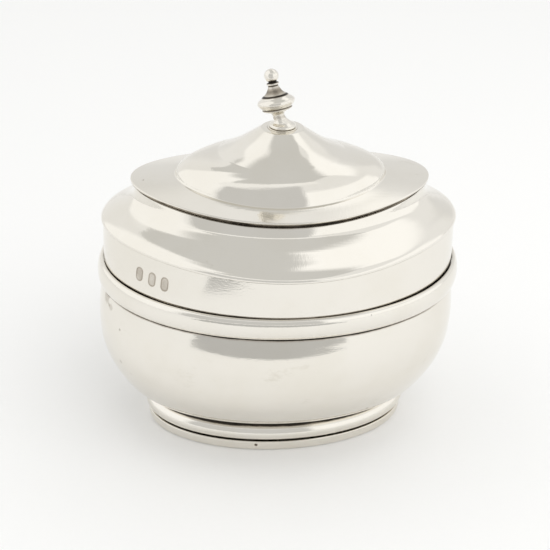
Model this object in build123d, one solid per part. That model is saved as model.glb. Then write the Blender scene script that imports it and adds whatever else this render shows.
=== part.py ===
"""Oval silver sugar box with a hinged lid: one STEP file for each piece.

Millimetres, +Z up. The origin is on the table under the middle of the bowl,
X runs along the long axis of the oval and -Y is the front, opposite the hinge.

Every sheet or wire of the body is described by stations, listed from the bottom up
or from the edge of the lid inwards. A station is one oval: its height at the two ends
of the long axis, its half width, its half depth, its lean (how far the quarters pull
in from a true ellipse) and its arch (how much lower it runs at front and back than at
the two ends).
"""

import os
from bisect import bisect
from math import ceil, cos, hypot, pi, sin

from build123d import *

# Sheet and wire.
SHEET = 0.8
BASE_SHEET = 0.9
LID_SHEET = 0.7
OVAL_POINTS = 32
TRACE_STEPS = 8
STATION_STEP = 1.0

# Foot: a thin rim under a rounded moulding.
FOOT_WALL = 2.2
FOOT_RIM = [
    (0.0, 34.0, 19.8, 0.0, 0.0),
    (1.8, 34.8, 20.6, 0.0, 0.0),
    (3.2, 34.9, 20.8, 0.0, 0.0),
]
FOOT_MOULDING = [
    (3.2, 34.3, 20.2, 0.0, 0.0),
    (4.3, 35.2, 21.1, 0.0, 0.0),
    (5.8, 35.4, 21.3, 0.0, 0.0),
    (7.2, 34.9, 20.7, 0.0, 0.0),
    (8.2, 33.8, 19.5, 0.0, 0.0),
]
FOOT_BORE = (32.2, 18.0)

# Lower body, from the flat of its base to the joint behind the girdle wire.
LOWER_BODY = [
    (6.6, 27.0, 12.6, 0.0, 0.0),
    (7.1, 30.6, 16.2, 0.0, 0.0),
    (8.3, 33.8, 19.5, 0.0, 0.0),
    (10.2, 36.8, 22.7, 0.0, 0.0),
    (13.0, 39.6, 26.1, 0.0, 0.0),
    (17.0, 42.2, 29.3, 0.0, 0.0),
    (22.0, 44.4, 32.7, 0.0, 0.0),
    (27.0, 45.7, 35.1, 0.0, 0.0),
    (31.5, 46.1, 35.95, 0.0, 0.0),
    (34.5, 46.2, 36.0, 0.0, 0.0),
    (38.0, 46.05, 35.6, 0.0, 0.0),
    (41.0, 45.75, 35.05, 0.0, 0.0),
    (43.6, 45.35, 34.65, 0.0, 0.0),
    (46.2, 45.0, 35.3, 0.0, 0.0),
]

# Girdle: a half-round wire over the joint between lower body and upper band.
GIRDLE_EDGES = [(43.4, 45.95, 34.95), (49.3, 45.4, 35.95)]
GIRDLE_STAND = (1.03, 1.35)
GIRDLE_BACK = [
    (43.4, 45.7, 34.8, 0.0, 0.0),
    (46.2, 45.1, 35.6, 0.0, 0.0),
    (49.3, 45.1, 35.7, 0.0, 0.0),
]

UPPER_BAND = [
    (46.2, 45.0, 35.5, 0.0, 0.0),
    (52.0, 45.0, 35.6, 0.02, 0.3),
    (59.6, 44.8, 35.5, 0.045, 1.0),
]

# Shoulder: rolls over the band, then sweeps up in a hollow curve to the neck.
SHOULDER = [
    (59.6, 45.1, 35.8, 0.045, 1.0),
    (60.3, 45.2, 35.8, 0.045, 1.05),
    (61.3, 44.5, 34.8, 0.045, 1.15),
    (62.3, 42.9, 32.6, 0.04, 1.3),
    (63.3, 40.9, 29.9, 0.04, 1.55),
    (64.5, 38.9, 27.0, 0.04, 1.85),
    (66.2, 37.2, 24.2, 0.035, 2.15),
    (68.9, 36.5, 22.9, 0.035, 2.4),
]

# Mouth collar: lines the neck and stands just above it.
COLLAR_WALL = 0.6
COLLAR_LOW = 64.6
COLLAR_HIGH = 69.5
COLLAR_HALF_WIDTH = 35.6
COLLAR_HALF_DEPTH = 22.0

# Lid: a nearly flat brim, a rounded step and a hollow cone up to a small flat top.
LID_TOP_HEIGHT = 83.0
LID_TOP_RADIUS = 5.2
LID_UNDER_RADIUS = 4.7
LID_BRIM = [
    (70.5, 37.6, 23.5, 0.035, 2.4),
    (70.75, 34.0, 21.6, 0.03, 2.25),
    (71.0, 30.0, 19.5, 0.025, 2.05),
    (71.2, 26.6, 17.9, 0.02, 1.8),
]
LID_DOME = [
    LID_BRIM[-1],
    (72.7, 25.9, 17.4, 0.015, 1.65),
    (74.4, 23.8, 16.3, 0.01, 1.3),
    (75.8, 20.2, 14.8, 0.0, 0.7),
    (76.9, 16.0, 12.7, 0.0, 0.25),
]
LID_CONE = [
    LID_DOME[-1],
    (78.6, 12.0, 10.4, 0.0, 0.0),
    (80.8, 8.4, 8.0, 0.0, 0.0),
    (LID_TOP_HEIGHT, LID_TOP_RADIUS, LID_TOP_RADIUS, 0.0, 0.0),
]
LID_ARCH = 2.4
LID_LEAN = 0.035
BEZEL_WALL = 0.6
BEZEL_LOW = 65.6
BEZEL_HIGH = 69.95
BEZEL_HALF_WIDTH = 34.5
BEZEL_HALF_DEPTH = 20.9

# Finial: a spool foot, a pinched stem, a flattened bulb, a spire and a ball.
PLATE_RADIUS = 3.7
PLATE_THICKNESS = 0.2
FINIAL_BEND_HEIGHT = 2.4
FINIAL_BEND_SIDE = -0.95
FINIAL_LEAN_SIDE = -10.5
FINIAL_LEAN_BACK = -11.0
FINIAL_FOOT = [(0.0, 3.25), (0.4, 3.3), (0.7, 3.15)]
FINIAL_STEM = [(0.7, 3.15), (1.1, 2.5), (1.6, 1.9), (2.2, 1.6), (2.8, 1.5)]
FINIAL_CUP = [(-0.4, 1.5), (0.6, 1.75), (1.2, 2.5), (1.7, 3.4), (2.1, 3.75)]
FINIAL_BULB = [(2.1, 3.75), (2.6, 3.85), (3.3, 4.45), (3.9, 4.65), (4.5, 4.3), (5.1, 3.7)]
FINIAL_SPIRE = [(5.1, 3.2), (5.7, 2.9), (6.3, 2.1), (7.1, 1.6), (8.0, 1.15)]
FINIAL_COLLAR = [(8.0, 1.15), (8.2, 1.5), (8.6, 1.5), (8.8, 0.95)]
BALL_RADIUS = 1.78
BALL_HEIGHT = 10.3

# Fixing of the finial, inside the lid.
STUD_RADIUS = 0.8
HOLE_REACH = 1.5
STUD_LOW = 79.6
STUD_IN_FINIAL = 1.6
WASHER_RADIUS = 3.0
WASHER_THICKNESS = 0.4
NUT_ACROSS_FLATS = 3.6
NUT_THICKNESS = 1.4

# Hinge at the middle of the back: five knuckles on one pin.
HINGE_Y = 25.3
HINGE_Z = 67.7
KNUCKLE_RADIUS = 1.25
KNUCKLE_LENGTH = 3.3
KNUCKLE_GAP = 0.12
KNUCKLE_NAMES = ["left_end", "left", "middle", "right", "right_end"]
PIN_RADIUS = 0.5
PIN_CLEARANCE = 0.05
BODY_PLATE = {"front": 22.2, "low": 66.1, "high": 67.25}
LID_PLATE = {"front": 21.2, "low": 67.75, "high": 68.95}
PLATE_REACH = 1.55
FINGER_TRIM = 0.06

# Three blank recessed punches on the band, left of the front.
PUNCH_ANGLES = [215.0, 221.0, 226.5]
PUNCH_HEIGHTS = [54.0, 53.9, 53.8]
PUNCH_WIDTH = 2.3
PUNCH_TALL = 3.6
PUNCH_DEPTH = 0.22
PUNCH_ROUND = 1.1


def oval(station):
    """Closed curve of one station."""
    height, half_width, half_depth, lean, arch = station
    points = []
    for i in range(OVAL_POINTS):
        turn = 2 * pi * i / OVAL_POINTS
        pull = 1 - lean * sin(2 * turn) ** 2
        x = half_width * cos(turn) * pull
        y = half_depth * sin(turn) * pull
        points.append((x, y, height - arch * sin(turn) ** 2))
    return Wire([Edge.make_spline(points, periodic=True)])


def skin(stations, ruled=False):
    """The surface through the stations, as faces."""
    return Shell.make_loft([oval(s) for s in stations], ruled).faces()


def reach(a, b):
    """Length of the profile from one station to the next."""
    return hypot(b[0] - a[0], b[1] - a[1])


def slopes(stations):
    """Change of each station value per millimetre of profile, at every station."""
    last = len(stations) - 1
    result = []
    for i in range(last + 1):
        before = stations[max(i - 1, 0)]
        after = stations[min(i + 1, last)]
        here = stations[i]
        length = reach(before, here) + reach(here, after)
        result.append([(q - p) / length for p, q in zip(before, after)])
    return result


def traced(stations):
    """Many close stations on a smooth curve through the given ones."""
    rates = slopes(stations)
    fine = [stations[0]]
    for i in range(len(stations) - 1):
        start, end = stations[i], stations[i + 1]
        length = reach(start, end)
        for j in range(1, TRACE_STEPS + 1):
            u = j / TRACE_STEPS
            toward = u * u * (3 - 2 * u)
            lead_in = u * (1 - u) ** 2 * length
            lead_out = u * u * (u - 1) * length
            values = []
            for p, q, rate_p, rate_q in zip(start, end, rates[i], rates[i + 1]):
                values.append(p + (q - p) * toward + rate_p * lead_in + rate_q * lead_out)
            fine.append(tuple(values))
    return fine


def refined(stations):
    """The same profile as evenly spaced stations, so that its skin runs true."""
    close = traced(stations)
    lengths = [0.0]
    for a, b in zip(close, close[1:]):
        lengths.append(lengths[-1] + reach(a, b))
    count = ceil(lengths[-1] / STATION_STEP)
    even = [stations[0]]
    for k in range(1, count):
        wanted = lengths[-1] * k / count
        i = bisect(lengths, wanted) - 1
        share = (wanted - lengths[i]) / (lengths[i + 1] - lengths[i])
        even.append(tuple(p + (q - p) * share for p, q in zip(close[i], close[i + 1])))
    even.append(stations[-1])
    return even


def inset(stations, thickness):
    """Stations one sheet thickness inside the given ones."""
    inner = []
    last = len(stations) - 1
    for i, (height, half_width, half_depth, lean, arch) in enumerate(stations):
        before = stations[max(i - 1, 0)]
        after = stations[min(i + 1, last)]
        rise = after[0] - before[0]
        out = after[1] - before[1]
        deep = after[2] - before[2]
        wide_share = thickness / hypot(rise, out)
        deep_share = thickness / hypot(rise, deep)
        inner.append(
            (
                height + wide_share * out,
                half_width - wide_share * rise,
                half_depth - deep_share * rise,
                lean,
                arch,
            )
        )
    return inner


def narrowed(stations, amount):
    """The same stations with every oval smaller by an amount."""
    return [(z, a - amount, b - amount, lean, arch) for z, a, b, lean, arch in stations]


def closed(faces):
    """One solid from faces that meet edge to edge."""
    return Solid(Shell(faces))


def rim_between(outer, inner):
    """Edge of a wall: a flat ring where both ovals are level at one height."""
    if outer[0] == inner[0] and outer[4] == inner[4] == 0:
        return [Face(oval(outer), [oval(inner)])]
    return skin([outer, inner], ruled=True)


def band_between(outer, inner):
    """Ring-shaped wall between an outer and an inner surface."""
    faces = skin(outer) + skin(inner)
    faces += rim_between(outer[0], inner[0])
    faces += rim_between(outer[-1], inner[-1])
    return closed(faces)


def walled(outer, back):
    """Wire with a shaped outside and a straight back."""
    faces = skin(outer) + skin(back, ruled=True)
    faces += rim_between(outer[0], back[0])
    faces += rim_between(outer[-1], back[-1])
    return closed(faces)


def filled(stations):
    """Solid block inside the stations, flat at both ends."""
    ends = [Face(oval(stations[0])), Face(oval(stations[-1]))]
    return closed(skin(stations) + ends)


def upright_ring(low, high, half_width, half_depth, wall, lean, arch):
    """Oval ring with straight walls."""
    outer = [(low, half_width, half_depth, lean, arch), (high, half_width, half_depth, lean, arch)]
    return band_between(outer, narrowed(outer, wall))


def turned(profile):
    """Turned solid from (height, radius) pairs, flat at both ends."""
    low, high = profile[0][0], profile[-1][0]
    curve = Spline([(radius, height) for height, radius in profile])
    outline = curve + Polyline([(profile[-1][1], high), (0, high), (0, low), (profile[0][1], low)])
    face = Plane.XZ * make_face(outline)
    return revolve(face, Axis.Z)


def cylinder_x(radius, x_from, x_to):
    """Round bar along X on the hinge axis."""
    bar = Cylinder(radius, x_to - x_from, rotation=(0, 90, 0))
    return Pos((x_from + x_to) / 2, HINGE_Y, HINGE_Z) * bar


def box_between(low, high):
    """Box from its lowest to its highest corner."""
    size = [b - a for a, b in zip(low, high)]
    middle = [(a + b) / 2 for a, b in zip(low, high)]
    return Pos(*middle) * Box(*size)


def make_foot():
    """Foot rim and foot moulding, the moulding fitted under the body."""
    rim_profile = refined(FOOT_RIM)
    rim = band_between(rim_profile, narrowed(rim_profile, FOOT_WALL))
    outer = refined(FOOT_MOULDING)
    low = (outer[0][0], FOOT_BORE[0], FOOT_BORE[1], 0.0, 0.0)
    high = (outer[-1][0], FOOT_BORE[0], FOOT_BORE[1], 0.0, 0.0)
    moulding = walled(outer, [low, high]) - filled(refined(LOWER_BODY))
    return {"foot_rim": rim, "foot_moulding": moulding}


def make_lower_body():
    """Bulging lower body with its closed base."""
    outer = refined(LOWER_BODY)
    inner = inset(outer, BASE_SHEET)
    faces = skin(outer) + skin(inner)
    faces += [Face(oval(outer[0])), Face(oval(inner[0]))]
    faces += skin([outer[-1], inner[-1]], ruled=True)
    return closed(faces)


def girdle_stations():
    """Half-round outline of the girdle wire, from its lower edge to its upper edge."""
    (low, low_width, low_depth), (high, high_width, high_depth) = GIRDLE_EDGES
    steps = 8
    stations = []
    for i in range(steps + 1):
        angle = pi * (i / steps - 0.5)
        share = (1 + sin(angle)) / 2
        half_width = low_width + (high_width - low_width) * share + GIRDLE_STAND[0] * cos(angle)
        half_depth = low_depth + (high_depth - low_depth) * share + GIRDLE_STAND[1] * cos(angle)
        stations.append((low + (high - low) * share, half_width, half_depth, 0.0, 0.0))
    return stations


def make_girdle():
    """Girdle wire, just outside the lower body and the upper band."""
    return walled(girdle_stations(), GIRDLE_BACK)


def punch_cut(angle, height):
    """Shallow pill-shaped recess cut into the front of the band."""
    turn = angle * pi / 180
    x = UPPER_BAND[0][1] * cos(turn)
    y = UPPER_BAND[0][2] * sin(turn)
    outward = Vector(cos(turn) / UPPER_BAND[0][1], sin(turn) / UPPER_BAND[0][2], 0).normalized()
    face_plane = Plane(origin=(x, y, height), x_dir=outward.cross(Vector(0, 0, 1)), z_dir=outward)
    blank = extrude(RectangleRounded(PUNCH_WIDTH, PUNCH_TALL, PUNCH_ROUND), PUNCH_DEPTH, both=True)
    return face_plane * blank


def make_upper_band():
    """Upright band with the three blank punches."""
    outer = refined(UPPER_BAND)
    band = band_between(outer, narrowed(outer, SHEET))
    for angle, height in zip(PUNCH_ANGLES, PUNCH_HEIGHTS):
        band -= punch_cut(angle, height)
    return band


def make_shoulder():
    """Shoulder sheet from the band to the neck."""
    outer = refined(SHOULDER)
    inner = inset(outer, SHEET)
    inner[0] = narrowed(outer[:1], SHEET)[0]
    return band_between(outer, inner)


def make_lid():
    """Lid cover with the hole for the stud, and the bezel under it."""
    outer = []
    corners = [0]
    for span in (LID_BRIM, LID_DOME, LID_CONE):
        outer += refined(span)[len(outer) > 0 :]
        corners.append(len(outer) - 1)
    inner = inset(outer, LID_SHEET)
    inner[-1] = (LID_TOP_HEIGHT - LID_SHEET, LID_UNDER_RADIUS, LID_UNDER_RADIUS, 0.0, 0.0)
    faces = []
    for start, end in zip(corners, corners[1:]):
        faces += skin(outer[start : end + 1]) + skin(inner[start : end + 1])
    faces += skin([outer[0], inner[0]], ruled=True)
    faces += [Face(oval(outer[-1])), Face(oval(inner[-1]))]
    hole = Pos(0, 0, LID_TOP_HEIGHT) * Cylinder(STUD_RADIUS, 2 * HOLE_REACH)
    cover = closed(faces) - hole
    bezel = upright_ring(
        BEZEL_LOW, BEZEL_HIGH, BEZEL_HALF_WIDTH, BEZEL_HALF_DEPTH, BEZEL_WALL, LID_LEAN, LID_ARCH
    )
    return {"lid_cover": cover, "lid_bezel": bezel - cover}


def bent_stem():
    """Stem of the finial, pushed over to one side on its foot."""
    low, high = FINIAL_STEM[0][0], FINIAL_STEM[-1][0]
    rings = []
    for height, radius in FINIAL_STEM:
        u = (height - low) / (high - low)
        side = FINIAL_BEND_SIDE * u * u * (3 - 2 * u)
        rings.append(Pos(side, 0, height) * Wire.make_circle(radius))
    return Solid.make_loft(rings)


def make_finial():
    """Cast finial: the stem pushed aside, the upper part leaning sideways and backwards."""
    seat = LID_TOP_HEIGHT + PLATE_THICKNESS
    upper = turned(FINIAL_CUP) + turned(FINIAL_BULB) + turned(FINIAL_SPIRE)
    upper += turned(FINIAL_COLLAR) + Pos(0, 0, BALL_HEIGHT) * Sphere(BALL_RADIUS)
    bend = Pos(FINIAL_BEND_SIDE, 0, FINIAL_BEND_HEIGHT)
    lean = Rot(FINIAL_LEAN_BACK, FINIAL_LEAN_SIDE, 0)
    shape = turned(FINIAL_FOOT) + bent_stem() + bend * lean * upper
    socket = Pos(0, 0, STUD_IN_FINIAL / 2) * Cylinder(STUD_RADIUS, STUD_IN_FINIAL)
    return Pos(0, 0, seat) * (shape - socket)


def disc(radius, low, high, bore):
    """Round plate with a hole for the stud."""
    plate = Cylinder(radius, high - low) - Cylinder(bore, high - low)
    return Pos(0, 0, (low + high) / 2) * plate


def make_finial_fixing():
    """Plate under the finial, stud, washer and nut."""
    under = LID_TOP_HEIGHT - LID_SHEET
    seat = LID_TOP_HEIGHT + PLATE_THICKNESS
    stud_high = seat + STUD_IN_FINIAL
    stud = Pos(0, 0, (STUD_LOW + stud_high) / 2) * Cylinder(STUD_RADIUS, stud_high - STUD_LOW)
    nut_high = under - WASHER_THICKNESS
    nut_blank = RegularPolygon(NUT_ACROSS_FLATS / 2, 6, major_radius=False) - Circle(STUD_RADIUS)
    nut = Pos(0, 0, nut_high - NUT_THICKNESS) * extrude(nut_blank, NUT_THICKNESS)
    return {
        "finial_plate": disc(PLATE_RADIUS, LID_TOP_HEIGHT, seat, STUD_RADIUS),
        "finial_stud": stud,
        "finial_washer": disc(WASHER_RADIUS, nut_high, under, STUD_RADIUS),
        "finial_nut": nut,
    }


def knuckle_span(i):
    """Left and right end of one knuckle."""
    pitch = KNUCKLE_LENGTH + KNUCKLE_GAP
    middle = (i - 2) * pitch
    return middle - KNUCKLE_LENGTH / 2, middle + KNUCKLE_LENGTH / 2


def hinge_plate(limits, indexes, neighbour):
    """Joint plate: a strip with one finger for each of its knuckles, fitted to its neighbour."""
    left = knuckle_span(0)[0]
    right = knuckle_span(4)[1]
    strip_back = HINGE_Y - PLATE_REACH
    plate = box_between((left, limits["front"], limits["low"]), (right, strip_back, limits["high"]))
    for i in indexes:
        x_from, x_to = knuckle_span(i)
        finger_low = (x_from + FINGER_TRIM, limits["front"], limits["low"])
        finger_high = (x_to - FINGER_TRIM, HINGE_Y, limits["high"])
        finger = box_between(finger_low, finger_high)
        plate += finger - cylinder_x(KNUCKLE_RADIUS, x_from, x_to)
    return max((plate - neighbour).solids(), key=lambda solid: solid.volume)


def make_hinge(shoulder, collar, lid_cover):
    """Pin, knuckles and the two joint plates."""
    parts = {}
    for i, name in enumerate(KNUCKLE_NAMES):
        x_from, x_to = knuckle_span(i)
        on_body = i % 2 == 0
        bore = PIN_RADIUS if on_body else PIN_RADIUS + PIN_CLEARANCE
        knuckle = cylinder_x(KNUCKLE_RADIUS, x_from, x_to) - cylinder_x(bore, x_from, x_to)
        owner = "body" if on_body else "lid"
        parts[f"{owner}_knuckle_{name}"] = knuckle
    parts["hinge_pin"] = cylinder_x(PIN_RADIUS, knuckle_span(0)[0], knuckle_span(4)[1])
    parts["body_hinge_plate"] = hinge_plate(BODY_PLATE, (0, 2, 4), shoulder + collar)
    parts["lid_hinge_plate"] = hinge_plate(LID_PLATE, (1, 3), lid_cover)
    return parts


def main():
    os.makedirs("parts", exist_ok=True)
    parts = make_foot()
    parts["lower_body"] = make_lower_body()
    parts["girdle_wire"] = make_girdle()
    parts["upper_band"] = make_upper_band()
    parts["shoulder"] = make_shoulder()
    parts["mouth_collar"] = upright_ring(
        COLLAR_LOW, COLLAR_HIGH, COLLAR_HALF_WIDTH, COLLAR_HALF_DEPTH, COLLAR_WALL, LID_LEAN, LID_ARCH
    )
    parts.update(make_lid())
    parts["finial"] = make_finial()
    parts.update(make_finial_fixing())
    parts.update(make_hinge(parts["shoulder"], parts["mouth_collar"], parts["lid_cover"]))
    for name, shape in parts.items():
        export_step(shape, f"parts/{name}.step")
    print(len(parts), "pieces written")


main()
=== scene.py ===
from bisect import bisect
from math import atan2, ceil, cos, exp, hypot, pi, radians, sin

import bpy
from mathutils import Matrix, Vector


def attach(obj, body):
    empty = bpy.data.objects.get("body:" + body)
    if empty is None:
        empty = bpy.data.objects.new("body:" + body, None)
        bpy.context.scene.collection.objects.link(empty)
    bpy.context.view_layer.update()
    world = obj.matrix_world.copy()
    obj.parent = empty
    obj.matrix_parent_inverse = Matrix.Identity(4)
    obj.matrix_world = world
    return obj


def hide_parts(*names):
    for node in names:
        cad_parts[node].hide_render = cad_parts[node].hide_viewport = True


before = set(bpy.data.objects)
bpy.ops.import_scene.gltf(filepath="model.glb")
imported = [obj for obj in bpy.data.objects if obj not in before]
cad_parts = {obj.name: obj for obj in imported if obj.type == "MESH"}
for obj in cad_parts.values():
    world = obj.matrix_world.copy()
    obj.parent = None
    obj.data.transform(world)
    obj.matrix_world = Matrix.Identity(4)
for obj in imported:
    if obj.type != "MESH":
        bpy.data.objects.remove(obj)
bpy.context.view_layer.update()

# An oval silver sugar box. Lengths are in millimetres until a mesh is made.
#
# A sheet or wire is described by stations: (height, half width, half depth, lean, arch).
# Height is at the two ends of the long axis, lean is how far the quarters pull in from a
# true ellipse, and arch is how much lower the oval runs at front and back.

MM = 0.001
COLUMNS = 288
ROW_STEP = 0.55
FOOT_STEP = 0.35
EDGE_ROUND = 0.22
CORNER_STEPS = 4
TRACE_STEPS = 24
SEAM_STEP = 0.13
SEAM_REACH = 0.9

SHEET = 0.8
BASE_SHEET = 0.9
LID_SHEET = 0.7
BODY_OVAL = (45.0, 35.0)

FOOT_RIM = [
    (0.0, 34.0, 19.8, 0.0, 0.0),
    (0.5, 34.6, 20.4, 0.0, 0.0),
    (1.8, 34.85, 20.65, 0.0, 0.0),
    (2.9, 34.75, 20.6, 0.0, 0.0),
]
FOOT_RIM_BORE = (31.8, 17.6)
FOOT_MOULDING = [
    (3.2, 34.2, 20.1, 0.0, 0.0),
    (4.2, 35.15, 21.05, 0.0, 0.0),
    (5.6, 35.45, 21.35, 0.0, 0.0),
    (7.0, 34.95, 20.75, 0.0, 0.0),
    (8.2, 33.5, 19.2, 0.0, 0.0),
]
FOOT_BORE = (32.2, 18.0)
LOWER_BODY = [
    (6.6, 27.0, 12.6, 0.0, 0.0),
    (7.1, 30.6, 16.2, 0.0, 0.0),
    (8.3, 33.8, 19.5, 0.0, 0.0),
    (10.2, 36.8, 22.7, 0.0, 0.0),
    (13.0, 39.6, 26.1, 0.0, 0.0),
    (17.0, 42.2, 29.3, 0.0, 0.0),
    (22.0, 44.4, 32.7, 0.0, 0.0),
    (27.0, 45.7, 35.1, 0.0, 0.0),
    (31.5, 46.1, 35.95, 0.0, 0.0),
    (34.5, 46.2, 36.0, 0.0, 0.0),
    (38.0, 46.05, 35.6, 0.0, 0.0),
    (41.0, 45.75, 35.05, 0.0, 0.0),
    (43.6, 45.35, 34.65, 0.0, 0.0),
    (46.2, 45.0, 35.3, 0.0, 0.0),
]
# Fullness of the left end: height of its middle, reach up and down, half width, extra share.
FULLER_LEFT = (26.0, 19.0, 46.0, 0.015)
GIRDLE_EDGES = [(43.4, 45.95, 34.95), (49.3, 45.4, 35.95)]
GIRDLE_STAND = (1.03, 1.35)
GIRDLE_BACK = [
    (49.3, 45.1, 35.7, 0.0, 0.0),
    (46.2, 45.1, 35.6, 0.0, 0.0),
    (43.4, 45.7, 34.8, 0.0, 0.0),
]
UPPER_BAND = [
    (46.2, 45.0, 35.5, 0.0, 0.0),
    (52.0, 45.0, 35.6, 0.02, 0.3),
    (59.6, 44.8, 35.5, 0.045, 1.0),
]
SHOULDER = [
    (59.6, 45.1, 35.8, 0.045, 1.0),
    (60.3, 45.2, 35.8, 0.045, 1.05),
    (61.3, 44.5, 34.8, 0.045, 1.15),
    (62.3, 42.9, 32.6, 0.04, 1.3),
    (63.3, 40.9, 29.9, 0.04, 1.55),
    (64.5, 38.9, 27.0, 0.04, 1.85),
    (66.2, 37.2, 24.2, 0.035, 2.15),
    (68.9, 36.5, 22.9, 0.035, 2.4),
]
COLLAR = [(64.6, 35.6, 22.0, 0.035, 2.4), (69.5, 35.6, 22.0, 0.035, 2.4)]
COLLAR_WALL = 0.6
LID_BRIM = [
    (70.5, 37.6, 23.5, 0.035, 2.4),
    (70.75, 34.0, 21.6, 0.03, 2.25),
    (71.0, 30.0, 19.5, 0.025, 2.05),
    (71.2, 26.6, 17.9, 0.02, 1.8),
]
LID_DOME = [
    LID_BRIM[-1],
    (72.7, 25.9, 17.4, 0.015, 1.65),
    (74.4, 23.8, 16.3, 0.01, 1.3),
    (75.8, 20.2, 14.8, 0.0, 0.7),
    (76.9, 16.0, 12.7, 0.0, 0.25),
]
LID_CONE = [
    LID_DOME[-1],
    (78.6, 12.0, 10.4, 0.0, 0.0),
    (80.8, 8.4, 8.0, 0.0, 0.0),
    (83.0, 5.2, 5.2, 0.0, 0.0),
]
LID_HOLE = 0.8
LID_TOP_TAPER = 0.5
BEZEL = [(65.6, 34.5, 20.9, 0.035, 2.4), (69.9, 34.5, 20.9, 0.035, 2.4)]
BEZEL_WALL = 0.6

# Finial, as (height above its seat, radius), up to the ball at the tip.
FINIAL_SEAT = 83.2
FINIAL_COLUMNS = 96
FINIAL_FOOT = [(0.0, 3.0), (0.15, 3.28), (0.45, 3.3), (0.8, 3.05), (1.3, 2.2), (2.0, 1.6)]
FINIAL_CUP = [(2.0, 1.6), (2.8, 1.45), (3.3, 1.55), (3.8, 2.2), (4.2, 3.2), (4.45, 3.68), (4.6, 3.72)]
FINIAL_BULB = [(4.75, 3.5), (5.0, 3.85), (5.7, 4.45), (6.3, 4.65), (6.9, 4.35), (7.4, 3.7)]
FINIAL_SPIRE = [(7.55, 3.3), (7.75, 3.25), (8.0, 2.85), (8.6, 2.1), (9.4, 1.6), (10.3, 1.2)]
FINIAL_COLLAR = [(10.4, 1.35), (10.6, 1.5), (10.9, 1.5), (11.05, 1.3)]
BALL = (12.7, 1.78)
BALL_FLATTENED = 0.97
BALL_SWEEP = (0.16, 0.82)
KINK = (0.7, 2.8, -0.95)
LEAN_PIVOT = 2.4
LEAN_BACK = radians(-11.0)
LEAN_SIDE = radians(-10.5)
PLATE = (83.0, 83.2, 3.7)

# Blank punches pressed into the band: (angle in degrees, height, half width, half height).
PUNCHES = [(215.0, 54.0, 1.15, 1.8), (221.0, 53.9, 1.15, 1.8), (226.5, 53.8, 1.15, 1.8)]
PUNCH_ROUND = 1.1

# Nicks, pits and stains: (height, half width, half depth, degrees around, radius, darkness).
WEAR = [
    (54.8, 45.0, 35.5, 203.0, 0.45, 0.9),
    (70.8, 34.6, 21.8, 186.0, 0.28, 0.9),
    (68.9, 34.8, 21.9, 323.0, 0.28, 0.9),
    (14.6, 40.7, 27.4, 301.0, 0.45, 0.8),
    (26.5, 46.1, 34.9, 206.0, 0.8, 0.5),
    (24.0, 45.6, 33.8, 211.0, 0.6, 0.4),
    (41.6, 45.7, 34.95, 194.0, 2.2, 0.55),
    (40.2, 45.8, 35.2, 199.0, 1.3, 0.5),
    (36.5, 46.3, 35.8, 207.0, 0.5, 0.6),
    (2.0, 34.85, 20.65, 258.0, 0.5, 1.1),
    (58.5, 44.9, 35.5, 240.0, 0.5, 0.7),
    (58.5, 44.9, 35.5, 250.0, 0.6, 0.6),
]
PUNCH_DEPTH = 0.22
PUNCH_SLOPE = 0.25
PUNCH_COLUMN_STEP = 0.16
BAND_OVAL = (45.0, 35.5)
OUTSIDE_OF_BAND = 0.99


# ---- profiles ----


def reach(a, b):
    """Length of the profile from one station to the next."""
    return hypot(b[0] - a[0], b[1] - a[1])


def slopes(stations):
    """Change of each station value per millimetre of profile, at every station."""
    last = len(stations) - 1
    result = []
    for i in range(last + 1):
        before = stations[max(i - 1, 0)]
        after = stations[min(i + 1, last)]
        length = reach(before, stations[i]) + reach(stations[i], after)
        result.append([(q - p) / length for p, q in zip(before, after)])
    return result


def smooth(stations, step=ROW_STEP, fine=()):
    """Stations on a smooth curve through the given ones, closer together near some heights."""
    rates = slopes(stations)
    close = [stations[0]]
    for i in range(len(stations) - 1):
        start, end = stations[i], stations[i + 1]
        length = reach(start, end)
        for j in range(1, TRACE_STEPS + 1):
            u = j / TRACE_STEPS
            toward = u * u * (3 - 2 * u)
            lead_in = u * (1 - u) ** 2 * length
            lead_out = u * u * (u - 1) * length
            values = []
            for p, q, rate_p, rate_q in zip(start, end, rates[i], rates[i + 1]):
                values.append(p + (q - p) * toward + rate_p * lead_in + rate_q * lead_out)
            close.append(tuple(values))
    return evened(close, step, fine)


def evened(close, step, fine=()):
    """Stations at equal distances along a chain, closer together near some heights."""
    lengths = [0.0]
    for a, b in zip(close, close[1:]):
        lengths.append(lengths[-1] + reach(a, b))
    even_step = lengths[-1] / max(2, ceil(lengths[-1] / step))
    even = [close[0]]
    wanted = 0.0
    while True:
        near = any(abs(even[-1][0] - height) < SEAM_REACH for height in fine)
        pace = SEAM_STEP if near else even_step
        wanted += pace
        if wanted > lengths[-1] - pace / 2:
            break
        i = min(bisect(lengths, wanted) - 1, len(close) - 2)
        share = (wanted - lengths[i]) / (lengths[i + 1] - lengths[i])
        even.append(blended(close[i], close[i + 1], share))
    even.append(close[-1])
    return even


def inset(stations, thickness):
    """Stations one sheet thickness inside the given ones."""
    inner = []
    last = len(stations) - 1
    for i, (height, half_width, half_depth, lean, arch) in enumerate(stations):
        before = stations[max(i - 1, 0)]
        after = stations[min(i + 1, last)]
        rise = after[0] - before[0]
        out = after[1] - before[1]
        deep = after[2] - before[2]
        wide = thickness / hypot(rise, out)
        narrow = thickness / hypot(rise, deep)
        moved = (height + wide * out, half_width - wide * rise, half_depth - narrow * rise)
        inner.append((*moved, lean, arch))
    return inner


def narrowed(stations, amount):
    """The same stations with every oval smaller by an amount."""
    return [(z, a - amount, b - amount, lean, arch) for z, a, b, lean, arch in stations]


def blended(a, b, share):
    """Station part of the way from one to another."""
    return tuple(p + (q - p) * share for p, q in zip(a, b))


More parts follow.
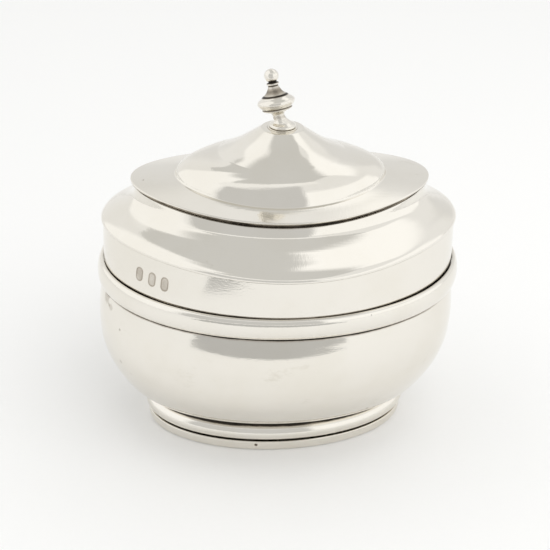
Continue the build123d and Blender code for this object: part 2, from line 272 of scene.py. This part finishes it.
def bent(before, corner, after, radius):
    """Stations that round a corner of an outline off."""
    start = blended(corner, before, min(0.45, radius / max(reach(corner, before), 1e-6)))
    end = blended(corner, after, min(0.45, radius / max(reach(corner, after), 1e-6)))
    steps = []
    for i in range(CORNER_STEPS + 1):
        u = i / CORNER_STEPS
        steps.append(blended(blended(start, corner, u), blended(corner, end, u), u))
    return steps


def outline(*spans, radius=EDGE_ROUND):
    """One closed outline from spans that follow each other, with every corner between them rounded."""
    joined = []
    for k, span in enumerate(spans):
        following = spans[(k + 1) % len(spans)]
        joined += span[1:-1]
        same = reach(span[-1], following[0]) < 1e-6
        if same:
            joined += bent(span[-2], span[-1], following[1], radius)
        else:
            joined += bent(span[-2], span[-1], following[0], radius)
            joined += bent(span[-1], following[0], following[1], radius)
    return joined


# ---- meshes ----


def even_turns(count=COLUMNS):
    """Angles of the columns of a mesh."""
    return [2 * pi * i / count for i in range(count)]


def oval_point(station, turn):
    """Point of one station at one angle."""
    height, half_width, half_depth, lean, arch = station
    pull = 1 - lean * sin(2 * turn) ** 2
    x = half_width * cos(turn) * pull
    y = half_depth * sin(turn) * pull
    return Vector((x, y, height - arch * sin(turn) ** 2))


def grid_mesh(name, rows, loop, poles=(None, None)):
    """Mesh from rows of points around the axis, closed from the last row to the first if it is a loop."""
    count = len(rows[0])
    points = [p * MM for row in rows for p in row]
    faces = []
    last = len(rows) if loop else len(rows) - 1
    for r in range(last):
        low = r * count
        high = (r + 1) % len(rows) * count
        for c in range(count):
            d = (c + 1) % count
            faces.append((low + c, low + d, high + d, high + c))
    start, end = poles
    if start is not None:
        points.append(start * MM)
        tip = len(points) - 1
        faces += [(tip, (c + 1) % count, c) for c in range(count)]
    if end is not None:
        points.append(end * MM)
        tip = len(points) - 1
        base = (len(rows) - 1) * count
        faces += [(tip, base + c, base + (c + 1) % count) for c in range(count)]
    mesh = bpy.data.meshes.new(name)
    mesh.from_pydata(points, [], faces)
    mesh.update()
    mesh.polygons.foreach_set("use_smooth", [True] * len(mesh.polygons))
    return mesh


def outward(mesh):
    """Turn the faces of a closed mesh so that they look out of the metal."""
    volume = 0.0
    for face in mesh.polygons:
        corners = [mesh.vertices[v].co for v in face.vertices]
        for b, c in zip(corners[1:], corners[2:]):
            volume += corners[0].dot(b.cross(c))
    if volume < 0:
        mesh.flip_normals()


def seam_dirt_and_shade(mesh, seams):
    """Mark how dark each point is painted by its seams, from 0 to 1: dirt in joints, and painted shade in
    gaps where shadow falls.
    """
    dirt_and_shade = mesh.attributes.new("dirt_and_shade", "FLOAT", "POINT")
    values = []
    for v in mesh.vertices:
        worst = 0.0
        for seam in seams:
            worst = max(worst, seam(v.co / MM))
        values.append(worst)
    dirt_and_shade.data.foreach_set("value", values)


def level_seam(height, width, arch=0.0, strength=1.0):
    """A darkened band that runs around the box at one height, used both for dirt in a seam and for
    painted shade in a gap.
    """

    def depth(p):
        turn = atan2(p.y / BODY_OVAL[1], p.x / BODY_OVAL[0])
        away = (p.z - height + arch * sin(turn) ** 2) / width
        return strength * exp(-away * away)

    return depth


def add_piece(name, mesh, body, nodes, material, seams=(), shape=None):
    """Put a finished mesh in the scene in the place of CAD nodes."""
    outward(mesh)
    seam_dirt_and_shade(mesh, seams)
    if shape:
        for v in mesh.vertices:
            v.co = shape(v.co / MM) * MM
    piece = bpy.data.objects.new(name, mesh)
    bpy.context.scene.collection.objects.link(piece)
    mesh.materials.append(material)
    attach(piece, body)
    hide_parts(*nodes)
    return piece


def raised_sheet(name, stations, body, nodes, material, seams=(), turns=None, shape=None):
    """Ring-shaped piece from a closed outline of stations."""
    columns = turns or even_turns()
    rows = [[oval_point(station, turn) for turn in columns] for station in stations]
    mesh = grid_mesh(name, rows, loop=True)
    return add_piece(name, mesh, body, nodes, material, seams, shape)


# ---- materials ----


class Nodes:
    """Short names for building a node tree."""

    def __init__(self, tree):
        self.tree = tree
        tree.nodes.clear()

    def add(self, kind, **settings):
        node = self.tree.nodes.new(kind)
        for key, value in settings.items():
            setattr(node, key, value)
        return node

    def join(self, source, target):
        self.tree.links.new(source, target)

    def fill(self, socket, value):
        if isinstance(value, bpy.types.NodeSocket):
            self.join(value, socket)
        else:
            socket.default_value = value

    def math(self, operation, a, b=0.0, c=0.0, clamp=False):
        node = self.add("ShaderNodeMath", operation=operation, use_clamp=clamp)
        for socket, value in zip(node.inputs, (a, b, c)):
            self.fill(socket, value)
        return node.outputs[0]

    def remap(self, value, low, high, to_low, to_high, kind="SMOOTHSTEP"):
        node = self.add("ShaderNodeMapRange", interpolation_type=kind)
        for socket, item in zip(node.inputs, (value, low, high, to_low, to_high)):
            self.fill(socket, item)
        return node.outputs[0]

    def mix(self, factor, a, b):
        node = self.add("ShaderNodeMix", data_type="RGBA")
        self.fill(node.inputs[0], factor)
        self.fill(node.inputs[6], a)
        self.fill(node.inputs[7], b)
        return node.outputs[2]

    def noise(self, where, scale, detail=2.0, rough=0.5):
        node = self.add("ShaderNodeTexNoise")
        self.fill(node.inputs["Vector"], where)
        node.inputs["Scale"].default_value = scale
        node.inputs["Detail"].default_value = detail
        node.inputs["Roughness"].default_value = rough
        return node.outputs["Fac"]


SILVER = (0.845, 0.815, 0.755, 1.0)
SILVER_WARM = (0.80, 0.765, 0.69, 1.0)
SILVER_OLD = (0.62, 0.575, 0.48, 1.0)
# Tarnish and oxide colours, also used to paint shade into the gaps between parts.
TARNISH_AND_SHADE = (0.30, 0.25, 0.19, 1.0)
OXIDE_AND_SHADE = (0.030, 0.026, 0.022, 1.0)


def stretched(n, scale):
    """Object coordinates stretched along the axes."""
    where = n.add("ShaderNodeTexCoord").outputs["Object"]
    mapping = n.add("ShaderNodeMapping")
    n.join(where, mapping.inputs["Vector"])
    mapping.inputs["Scale"].default_value = scale
    return mapping.outputs["Vector"]


def wear_marks(n, where, ragged):
    """Dirt in the single nicks and stains, with ragged outlines."""
    total = 0.0
    for height, half_width, half_depth, angle, radius, darkness in WEAR:
        turn = radians(angle)
        spot = Vector((half_width * cos(turn), half_depth * sin(turn), height)) * MM
        away = n.add("ShaderNodeVectorMath", operation="DISTANCE")
        n.join(where, away.inputs[0])
        away.inputs[1].default_value = spot
        reach_out = n.math("MULTIPLY", n.math("ADD", ragged, 0.35), radius * MM * 1.6)
        mark = n.remap(n.math("DIVIDE", away.outputs["Value"], reach_out), 0.35, 1.0, darkness, 0.0)
        total = n.math("ADD", mark, total)
    return total


def new_material(name):
    """Material with a shader joined to its output."""
    material = bpy.data.materials.new(name)
    material.use_nodes = True
    n = Nodes(material.node_tree)
    shader = n.add("ShaderNodeBsdfPrincipled")
    output = n.add("ShaderNodeOutputMaterial")
    n.join(shader.outputs[0], output.inputs[0])
    where = n.add("ShaderNodeTexCoord").outputs["Object"]
    return material, n, shader, where


def patina_colour(n, where, patina, age):
    """Cloudy colour of the clean metal, with older patches."""
    cloud = n.noise(where, 45.0, 4.0, 0.6)
    cloudy = n.remap(cloud, 0.40, 0.68, 0.0, patina)
    colour = n.mix(cloudy, SILVER, SILVER_WARM)
    blot = n.noise(stretched(n, (70.0, 70.0, 120.0)), 1.0, 6.0, 0.72)
    return n.mix(n.remap(blot, 0.60, 0.76, 0.0, age), colour, SILVER_OLD)


def dirt_and_shade_depth(n, where):
    """How dark each point is painted: dirt and painted shade in seams from the mesh, with ragged edges,
    and single wear marks.
    """
    dirt_and_shade = n.add("ShaderNodeAttribute", attribute_name="dirt_and_shade").outputs["Fac"]
    ragged = n.noise(where, 900.0, 3.0, 0.7)
    uneven = n.noise(where, 160.0, 2.0, 0.6)
    edge = n.math("MULTIPLY", dirt_and_shade, n.math("ADD", n.math("MULTIPLY", uneven, 1.2), 0.4))
    edge = n.math("ADD", edge, n.math("MULTIPLY", n.math("MULTIPLY", dirt_and_shade, ragged), 0.5))
    return n.math("ADD", edge, wear_marks(n, where, ragged))


def rare_pits(n, where, pits):
    """Mask of a few small pits."""
    cells = n.add("ShaderNodeTexVoronoi", feature="F1")
    n.join(where, cells.inputs["Vector"])
    cells.inputs["Scale"].default_value = 110.0
    cells.inputs["Randomness"].default_value = 1.0
    rare = n.add("ShaderNodeSeparateColor")
    n.join(cells.outputs["Color"], rare.inputs[0])
    chosen = n.math("GREATER_THAN", rare.outputs[0], 0.93)
    spot = n.remap(cells.outputs["Distance"], 0.018, 0.05, 1.0, 0.0)
    return n.math("MULTIPLY", n.math("MULTIPLY", spot, chosen), pits)


def fine_relief(n, where, pit):
    """Normal of hand-polished metal: hairlines both ways, a faint ripple and the pits."""
    hair = n.noise(stretched(n, (2600.0, 90.0, 2600.0)), 1.0, 2.0, 0.5)
    cross = n.noise(stretched(n, (120.0, 2300.0, 2300.0)), 1.0, 2.0, 0.5)
    ripple = n.noise(where, 34.0, 1.0, 0.4)
    relief = n.math("ADD", n.math("MULTIPLY", hair, 0.010), n.math("MULTIPLY", cross, 0.010))
    relief = n.math("ADD", relief, n.math("MULTIPLY", ripple, 0.12))
    relief = n.math("SUBTRACT", relief, n.math("MULTIPLY", pit, 0.06))
    bump = n.add("ShaderNodeBump")
    bump.inputs["Strength"].default_value = 1.0
    bump.inputs["Distance"].default_value = 0.00055
    n.join(relief, bump.inputs["Height"])
    return bump.outputs[0]


def make_silver(name, shine=0.06, patina=0.6, pits=1.0, age=0.45):
    """Hand-polished silver, with dark oxide where polish doesn't reach, and painted shade in the gaps
    under the lid brim, at the foot and round the finial.
    """
    material, n, shader, where = new_material(name)
    edge = dirt_and_shade_depth(n, where)
    stain_and_shade = n.remap(edge, 0.22, 0.85, 0.0, 0.8)
    black = n.remap(edge, 0.75, 1.25, 0.0, 1.0)
    pit = rare_pits(n, where, pits)
    # Tarnish colour where seams are darkened, near-black deeper in: dirt in joints and painted shade in
    # gaps.
    colour = n.mix(stain_and_shade, patina_colour(n, where, patina, age), TARNISH_AND_SHADE)
    colour = n.mix(black, colour, OXIDE_AND_SHADE)
    colour = n.mix(n.math("MULTIPLY", pit, 0.8), colour, OXIDE_AND_SHADE)
    n.join(colour, shader.inputs["Base Color"])

    smear = n.noise(stretched(n, (60.0, 60.0, 190.0)), 1.0, 3.0, 0.6)
    rough = n.remap(smear, 0.35, 0.75, shine * 0.75, shine * 1.9)
    rough = n.math("ADD", rough, n.math("MULTIPLY", stain_and_shade, 0.35), clamp=True)
    n.join(rough, shader.inputs["Roughness"])
    shader.inputs["Metallic"].default_value = 1.0
    n.join(fine_relief(n, where, pit), shader.inputs["Normal"])
    return material


def shade_of(value, blue):
    """Grey with its blue slightly lower."""
    return (value, value, value * blue, 1.0)


def make_paper(name, dark, light):
    """Plain matt paper with a faint fibre."""
    material, n, shader, where = new_material(name)
    fibre = n.noise(where, 700.0, 3.0, 0.6)
    colour = n.mix(fibre, shade_of(dark, 0.997), shade_of(light, 0.997))
    n.join(colour, shader.inputs["Base Color"])
    shader.inputs["Roughness"].default_value = 0.7
    shader.inputs["Specular IOR Level"].default_value = 0.2
    return material


# ---- pieces of the bowl ----


def hand_raised(amount):
    """Slight unevenness left by the hammer, as a function that moves points of a sheet."""
    wide, deep = BODY_OVAL

    def move(p):
        turn = atan2(p.y / deep, p.x / wide)
        wave = sin(2 * turn + 0.6) * sin(0.23 * p.z + 1.0)
        wave += 0.6 * sin(5 * turn + 2.0) * cos(0.41 * p.z)
        wave += 0.35 * sin(9 * turn + 0.15 * p.z)
        side = Vector((p.x / wide**2, p.y / deep**2, 0.0))
        return p + side.normalized() * amount * wave

    return move


def fuller_left(p):
    """The lower body was raised a little fuller at its left end than at its right."""
    middle, reach_up, half_width, extra = FULLER_LEFT
    rise = max(0.0, 1 - ((p.z - middle) / reach_up) ** 2)
    side = max(0.0, -p.x / half_width)
    return Vector((p.x * (1 + extra * rise * side), p.y, p.z))


def bored(stations, bore):
    """Closed outline of a moulded ring with a straight bore."""
    low, high = stations[0][0], stations[-1][0]
    inner = [(high, *bore, 0.0, 0.0), (low, *bore, 0.0, 0.0)]
    return outline(smooth(stations, FOOT_STEP), evened(inner, 1.0))


def make_foot(silver):
    rim = bored(FOOT_RIM, FOOT_RIM_BORE)
    seams = [level_seam(3.05, 0.2, strength=0.6)]
    raised_sheet("foot_rim_polished", rim, "bowl", ["foot_rim"], silver, seams)
    moulding = bored(FOOT_MOULDING, FOOT_BORE)
    # The band at 8.5 darkens the moulding's top where the body sits on it: dirt in the joint and painted
    # shade under the body's overhang.
    seams = [level_seam(3.1, 0.2, strength=0.6), level_seam(8.5, 0.55, strength=1.3)]
    raised_sheet("foot_moulding_polished", moulding, "bowl", ["foot_moulding"], silver, seams)


def make_lower_body(silver):
    outer = smooth(LOWER_BODY, ROW_STEP, [8.6, 43.0])
    inner = inset(smooth(LOWER_BODY), BASE_SHEET)[::-1]
    profile = outer[:-1] + bent(outer[-2], outer[-1], inner[0], EDGE_ROUND)
    profile += bent(outer[-1], inner[0], inner[1], EDGE_ROUND) + inner[1:]
    rows = [[oval_point(s, t) for t in even_turns()] for s in profile]
    poles = (Vector((0, 0, LOWER_BODY[0][0])), Vector((0, 0, inner[-1][0])))
    mesh = grid_mesh("lower_body_polished", rows, loop=False, poles=poles)
    # The band at 8.3 darkens the body's underside where it meets the foot: dirt in the joint and painted
    # shade.
    seams = [level_seam(43.15, 0.5, strength=1.5), level_seam(8.3, 0.85, strength=1.4)]
    uneven = hand_raised(0.05)

    def shape(p):
        return fuller_left(uneven(p))

    add_piece("lower_body_polished", mesh, "bowl", ["lower_body"], silver, seams, shape)


def girdle_front():
    """Half-round face of the girdle wire, from its lower edge to its upper edge."""
    (low, low_width, low_depth), (high, high_width, high_depth) = GIRDLE_EDGES
    steps = 20
    stations = []
    for i in range(steps + 1):
        angle = pi * (i / steps - 0.5)
        share = (1 + sin(angle)) / 2
        half_width = low_width + (high_width - low_width) * share + GIRDLE_STAND[0] * cos(angle)
        half_depth = low_depth + (high_depth - low_depth) * share + GIRDLE_STAND[1] * cos(angle)
        stations.append((low + (high - low) * share, half_width, half_depth, 0.0, 0.0))
    return stations


def make_girdle(silver):
    profile = outline(girdle_front(), evened(GIRDLE_BACK, 1.5), radius=0.08)
    seams = [level_seam(43.35, 0.2), level_seam(49.5, 0.18)]
    raised_sheet("girdle_wire_polished", profile, "bowl", ["girdle_wire"], silver, seams)


def inside_punch(p):
    """Distance from a point of the band to the nearest punch edge, positive inside the punch."""
    wide, deep = BAND_OVAL
    turn = atan2(p.y / deep, p.x / wide) % (2 * pi)
    best = -9.0
    for angle, height, half_width, half_height in PUNCHES:
        step = hypot(wide * sin(radians(angle)), deep * cos(radians(angle)))
        across = abs(turn - radians(angle)) * step - (half_width - PUNCH_ROUND)
        upright = abs(p.z - height) - (half_height - PUNCH_ROUND)
        outside = hypot(max(across, 0.0), max(upright, 0.0)) + min(max(across, upright), 0.0)
        best = max(best, PUNCH_ROUND - outside)
    return best


def punched(p):
    """Press the punches into the outside of the band."""
    wide, deep = BAND_OVAL
    if hypot(p.x / wide, p.y / deep) < OUTSIDE_OF_BAND:
        return p
    pressed = min(1.0, max(0.0, inside_punch(p) / PUNCH_SLOPE))
    side = Vector((p.x / wide**2, p.y / deep**2, 0.0)).normalized()
    return p - side * PUNCH_DEPTH * pressed * pressed * (3 - 2 * pressed)


def punch_dirt(p):
    """Dirt left in a punch, most of it along its edge."""
    inside = inside_punch(p)
    away = (inside - 0.2) / 0.28
    return max(0.62 * exp(-away * away), 0.42 if inside > 0.2 else 0.0)


def punch_turns():
    """Columns of the band, close together where the punches are."""
    start, end = PUNCHES[0][0] - 3.5, PUNCHES[-1][0] + 3.4
    count = round((end - start) / PUNCH_COLUMN_STEP) + 1
    fine = [radians(start + PUNCH_COLUMN_STEP * i) for i in range(count)]
    apart = 0.01
    coarse = [turn for turn in even_turns() if not fine[0] - apart < turn < fine[-1] + apart]
    return sorted(coarse + fine)


def make_upper_band(silver):
    outer = smooth(UPPER_BAND, 0.2)
    inner = narrowed(evened(outer, 0.8), SHEET)[::-1]
    seams = [level_seam(49.45, 0.18, strength=0.85), level_seam(59.7, 0.2, arch=1.0), punch_dirt]
    uneven = hand_raised(0.02)

    def shape(p):
        return uneven(punched(p))

    profile = outline(outer, inner)
    nodes = ["upper_band"]
    turns = punch_turns()
    raised_sheet("upper_band_polished", profile, "bowl", nodes, silver, seams, turns, shape)


def make_shoulder(silver):
    outer = smooth(SHOULDER, 0.4, [60.0, 68.6])
    inner = inset(smooth(SHOULDER), SHEET)
    inner[0] = narrowed(outer[:1], SHEET)[0]
    # The band at 69.3 darkens the shoulder's top under the lid brim: painted shade in the gap.
    seams = [level_seam(59.55, 0.16, arch=1.0), level_seam(69.3, 0.6, arch=2.4)]
    profile = outline(outer, inner[::-1])
    nodes = ["shoulder"]
    shape = hand_raised(0.04)
    raised_sheet("shoulder_polished", profile, "bowl", nodes, silver, seams, shape=shape)


def make_collar(silver):
    outer = evened(COLLAR, 0.6)
    profile = outline(outer, narrowed(outer, COLLAR_WALL)[::-1], radius=0.15)
    # The top of the collar under the lid brim is darkened: painted shade in the gap.
    seams = [level_seam(69.3, 1.0, arch=2.4)]
    raised_sheet("mouth_collar_polished", profile, "bowl", ["mouth_collar"], silver, seams)


# ---- pieces of the lid ----


def make_lid_cover(silver):
    outer_spans = [smooth(LID_BRIM, 0.5), smooth(LID_DOME, 0.45), smooth(LID_CONE, 0.45)]
    whole = outer_spans[0] + outer_spans[1][1:] + outer_spans[2][1:]
    inner = inset(whole, LID_SHEET)
    top = whole[-1]
    under = top[1] - LID_TOP_TAPER
    inner[-1] = (top[0] - LID_SHEET, under, under, 0.0, 0.0)
    hole_top = (top[0], LID_HOLE, LID_HOLE, 0.0, 0.0)
    hole_low = (top[0] - LID_SHEET, LID_HOLE, LID_HOLE, 0.0, 0.0)
    cap = evened([top, hole_top], 0.3)
    under_cap = evened([hole_low, inner[-1]], 0.6)
    profile = outline(*outer_spans, cap, under_cap, inner[::-1], radius=0.3)

    # Painted shade: a dark ring on the lid top round the finial's plate.
    def painted_shade_under_finial(p):
        away = (hypot(p.x, p.y) - 3.6) / 0.3
        return 0.6 * exp(-away * away) if p.z > 82.7 else 0.0

    # The band at 69.8 darkens the brim's underside: painted shade in the gap above the collar.
    seams = [level_seam(69.8, 0.28, arch=2.4, strength=0.85), painted_shade_under_finial]
    nodes = ["lid_cover"]
    shape = hand_raised(0.03)
    raised_sheet("lid_cover_polished", profile, "lid", nodes, silver, seams, shape=shape)


def make_bezel(silver):
    outer = evened(BEZEL, 0.6)
    profile = outline(outer, narrowed(outer, BEZEL_WALL)[::-1], radius=0.15)
    raised_sheet("lid_bezel_polished", profile, "lid", ["lid_bezel"], silver)


def round_rows(profile, turns):
    """Rings of points around the axis from (height, radius) pairs."""
    return [[Vector((r * cos(t), r * sin(t), h)) for t in turns] for h, r in profile]


def ball_profile():
    """Slightly flattened ball at the tip of the finial, above its collar."""
    middle, radius = BALL
    start, span = BALL_SWEEP
    steps = 22
    profile = []
    for i in range(steps):
        angle = pi * (start + span * i / (steps - 1))
        profile.append((middle - BALL_FLATTENED * radius * cos(angle), radius * sin(angle)))
    return profile


def turned_span(pairs, step=0.16):
    """Smooth part of a turned profile."""
    stations = [(h, r, r, 0.0, 0.0) for h, r in pairs]
    return [(s[0], s[1]) for s in smooth(stations, step)]


def kinked(p):
    """Bend of the finial: its stem pushed aside, then everything above leaning over."""
    low, high, aside = KINK
    share = min(1.0, max(0.0, (p.z - low) / (high - low)))
    share = share * share * (3 - 2 * share)
    lean = Matrix.Rotation(LEAN_BACK * share, 3, "X") @ Matrix.Rotation(LEAN_SIDE * share, 3, "Y")
    above = p - Vector((0, 0, LEAN_PIVOT))
    return lean @ above + Vector((aside * share, 0, LEAN_PIVOT + FINIAL_SEAT))


def ring_oxide_and_shade(height, width, strength):
    """Darker ring of the turned profile: oxide in a groove, and painted shade in its undercuts and at its
    foot.
    """

    def depth(p):
        away = (p.z - height) / width
        return strength * exp(-away * away)

    return depth


def make_finial(silver):
    profile = turned_span(FINIAL_FOOT) + turned_span(FINIAL_CUP)[1:] + turned_span(FINIAL_BULB)
    profile += turned_span(FINIAL_SPIRE) + turned_span(FINIAL_COLLAR, 0.1) + ball_profile()
    rows = round_rows(profile, even_turns(FINIAL_COLUMNS))
    tip = BALL[0] + BALL_FLATTENED * BALL[1]
    poles = (Vector((0, 0, 0)), Vector((0, 0, tip)))
    mesh = grid_mesh("finial_polished", rows, loop=False, poles=poles)
    # Dark rings on the finial: painted shade at its foot, under the bulb, along the spire and under the
    # ball, with oxide in the grooves.
    seams = [
        ring_oxide_and_shade(0.0, 0.14, 0.9),
        ring_oxide_and_shade(2.6, 0.7, 0.42),
        ring_oxide_and_shade(4.72, 0.16, 1.0),
        ring_oxide_and_shade(7.9, 0.28, 1.1),
        ring_oxide_and_shade(9.0, 1.1, 0.72),
        ring_oxide_and_shade(10.3, 0.2, 1.0),
        ring_oxide_and_shade(11.15, 0.28, 1.3),
    ]
    add_piece("finial_polished", mesh, "lid", ["finial"], silver, seams, kinked)


def make_plate(silver):
    low, high, radius = PLATE
    rim = [(low, LID_HOLE), (low, radius), (high, radius), (high, LID_HOLE)]
    stations = [(h, r, r, 0.0, 0.0) for h, r in rim]
    sides = [evened([a, b], 0.4) for a, b in zip(stations, stations[1:] + stations[:1])]
    profile = outline(*sides, radius=0.05)
    raised_sheet("finial_plate_polished", profile, "lid", ["finial_plate"], silver)


# ---- stage, light and camera ----

VIEW_TURN = radians(7.2)
VIEW_RISE = radians(28.0)
VIEW_ROLL = radians(1.58)
VIEW_DISTANCE = 300.0
VIEW_AIM = 45.0
VIEW_LENS = 75.13
VIEW_SHIFT = (-0.0068, -0.0210)


def view_axes():
    """Level directions to the right of the camera and away from it."""
    right = Vector((cos(VIEW_TURN), -sin(VIEW_TURN), 0.0))
    away = Vector((sin(VIEW_TURN), cos(VIEW_TURN), 0.0))
    return right, away


def make_camera():
    right, away = view_axes()
    back = Vector((0, 0, sin(VIEW_RISE))) - away * cos(VIEW_RISE)
    up = back.cross(right)
    turned = Matrix((right, up, back)).transposed() @ Matrix.Rotation(VIEW_ROLL, 3, "Z")
    camera = bpy.data.cameras.new("camera")
    camera.lens = VIEW_LENS
    camera.sensor_width = 36.0
    camera.shift_x, camera.shift_y = VIEW_SHIFT
    camera.clip_start = 0.01
    holder = bpy.data.objects.new("camera", camera)
    place = (Vector((0, 0, VIEW_AIM)) + back * VIEW_DISTANCE) * MM
    holder.matrix_world = Matrix.Translation(place) @ turned.to_4x4()
    bpy.context.scene.collection.objects.link(holder)
    bpy.context.scene.camera = holder


def add_sheet(name, corners, material):
    """One flat four-cornered face in the scene."""
    mesh = bpy.data.meshes.new(name)
    mesh.from_pydata(corners, [], [(0, 1, 2, 3)])
    mesh.materials.append(material)
    sheet = bpy.data.objects.new(name, mesh)
    bpy.context.scene.collection.objects.link(sheet)
    return sheet


def make_floor():
    half = 3.0
    corners = [(-half, -half, 0.0), (half, -half, 0.0), (half, half, 0.0), (-half, half, 0.0)]
    floor = add_sheet("floor", corners, make_paper("floor_paper", 0.955, 0.975))


# Light tent. A panel is (azimuth from, azimuth to, elevation from, elevation to, softness, shade)
# in degrees; azimuth is 0 on the camera's side and grows towards the right.
TENT = 0.93
PANELS = [
    ("left_box", -130.0, -50.0, -4.0, 68.0, 9.0, 1.10),
    ("right_box", 28.0, 112.0, -4.0, 35.0, 5.0, 1.14),
    ("rear_wall_left", -182.0, -160.0, 6.0, 40.0, 14.0, 0.82),
    ("rear_wall_right", 138.0, 182.0, 6.0, 40.0, 14.0, 0.82),
    ("rear_right_box", 100.0, 171.0, 44.0, 65.0, 7.0, 1.16),
    ("rear_right_gap", 108.0, 142.0, 20.0, 44.0, 14.0, 0.94),
    ("front_opening", -46.0, 28.0, -12.0, 45.0, 5.0, 0.665),
    ("front_strip", -60.0, 50.0, 46.0, 54.0, 3.0, 1.02),
]
# Opening straight above: half width across and half depth towards the camera, as slopes, then
# softness and shade.
ZENITH_OPENING = (0.55, 0.75, 0.02, 0.69)
# Lamp for the paper, in metres and watts: right, nearer, up, size, power.
PAPER_LAMP = (0.35, 0.35, 0.75, 0.7, 1.75)
# Grey card on the paper, in metres: near edge, far edge, half width, widening, lift.
FRONT_CARD = (0.170, 0.600, 0.135, 2.5, 0.0006)


def make_tent():
    """World light: an even white tent with brighter panels and a few duller openings."""
    world = bpy.data.worlds.new("tent")
    bpy.context.scene.world = world
    world.use_nodes = True
    n = Nodes(world.node_tree)
    way = n.add("ShaderNodeTexCoord").outputs["Generated"]
    right, away = view_axes()

    def along(axis):
        node = n.add("ShaderNodeVectorMath", operation="DOT_PRODUCT")
        n.join(way, node.inputs[0])
        node.inputs[1].default_value = axis
        return node.outputs["Value"]

    def within(value, low, high, soft):
        middle, half = (low + high) / 2, (high - low) / 2
        off = n.math("ABSOLUTE", n.math("SUBTRACT", value, middle))
        return n.remap(off, half - soft / 2, half + soft / 2, 1.0, 0.0)

    sideways, forward, up = along(right), along(-away), along(Vector((0, 0, 1)))
    azimuth = n.math("DEGREES", n.math("ARCTAN2", sideways, forward))
    elevation = n.math("DEGREES", n.math("ARCSINE", up))
    wide, deep, soft, shade = ZENITH_OPENING
    high = n.math("MAXIMUM", up, 0.05)
    across = within(n.math("DIVIDE", sideways, high), -wide, wide, soft)
    upright = within(n.math("DIVIDE", forward, high), -deep, deep, soft)
    mask = n.math("MULTIPLY", across, upright)
    colour = n.mix(mask, shade_of(TENT, 0.99), shade_of(shade, 0.98))
    for name, turn_from, turn_to, rise_from, rise_to, soft, shade in PANELS:
        across = within(azimuth, turn_from, turn_to, soft)
        upright = within(elevation, rise_from, rise_to, soft)
        mask = n.math("MULTIPLY", across, upright)
        colour = n.mix(mask, colour, shade_of(shade, 0.99))

    background = n.add("ShaderNodeBackground")
    n.join(colour, background.inputs["Color"])
    background.inputs["Strength"].default_value = 1.0
    output = n.add("ShaderNodeOutputWorld")
    n.join(background.outputs[0], output.inputs[0])


def make_paper_lamp():
    """Wide soft lamp at the front right that only brightens the paper."""
    right, away = view_axes()
    aside, nearer, rise, size, power = PAPER_LAMP
    light = bpy.data.lights.new("paper_light", "AREA")
    light.size = size
    light.energy = power
    holder = bpy.data.objects.new("paper_light", light)
    place = right * aside - away * nearer + Vector((0, 0, rise))
    aimed = place.to_track_quat("Z", "Y").to_matrix().to_4x4()
    holder.matrix_world = Matrix.Translation(place) @ aimed
    holder.visible_glossy = False
    holder.visible_camera = False
    bpy.context.scene.collection.objects.link(holder)


def make_front_card():
    """Grey card flat on the paper in front of the view, seen only as a reflection."""
    near, far, half, widening, lift = FRONT_CARD
    right, away = view_axes()
    places = ((near, -half), (near, half), (far, half * widening), (far, -half * widening))
    up = Vector((0, 0, lift))
    corners = [right * side - away * ahead + up for ahead, side in places]
    card = add_sheet("front_card", corners, make_paper("card_paper", 0.50, 0.54))
    card.visible_camera = False
    card.visible_diffuse = False
    card.visible_shadow = False


def main():
    bpy.context.scene.view_settings.view_transform = "Standard"
    silver = make_silver("silver_polished")
    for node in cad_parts.values():
        node.data.materials.clear()
        node.data.materials.append(silver)
    make_foot(silver)
    make_lower_body(silver)
    make_girdle(silver)
    make_upper_band(silver)
    make_shoulder(silver)
    make_collar(silver)
    make_lid_cover(silver)
    make_bezel(silver)
    make_plate(silver)
    make_finial(make_silver("silver_cast", shine=0.1, patina=0.9, pits=0.0, age=0.9))
    make_floor()
    make_paper_lamp()
    make_front_card()
    make_tent()
    make_camera()


main()
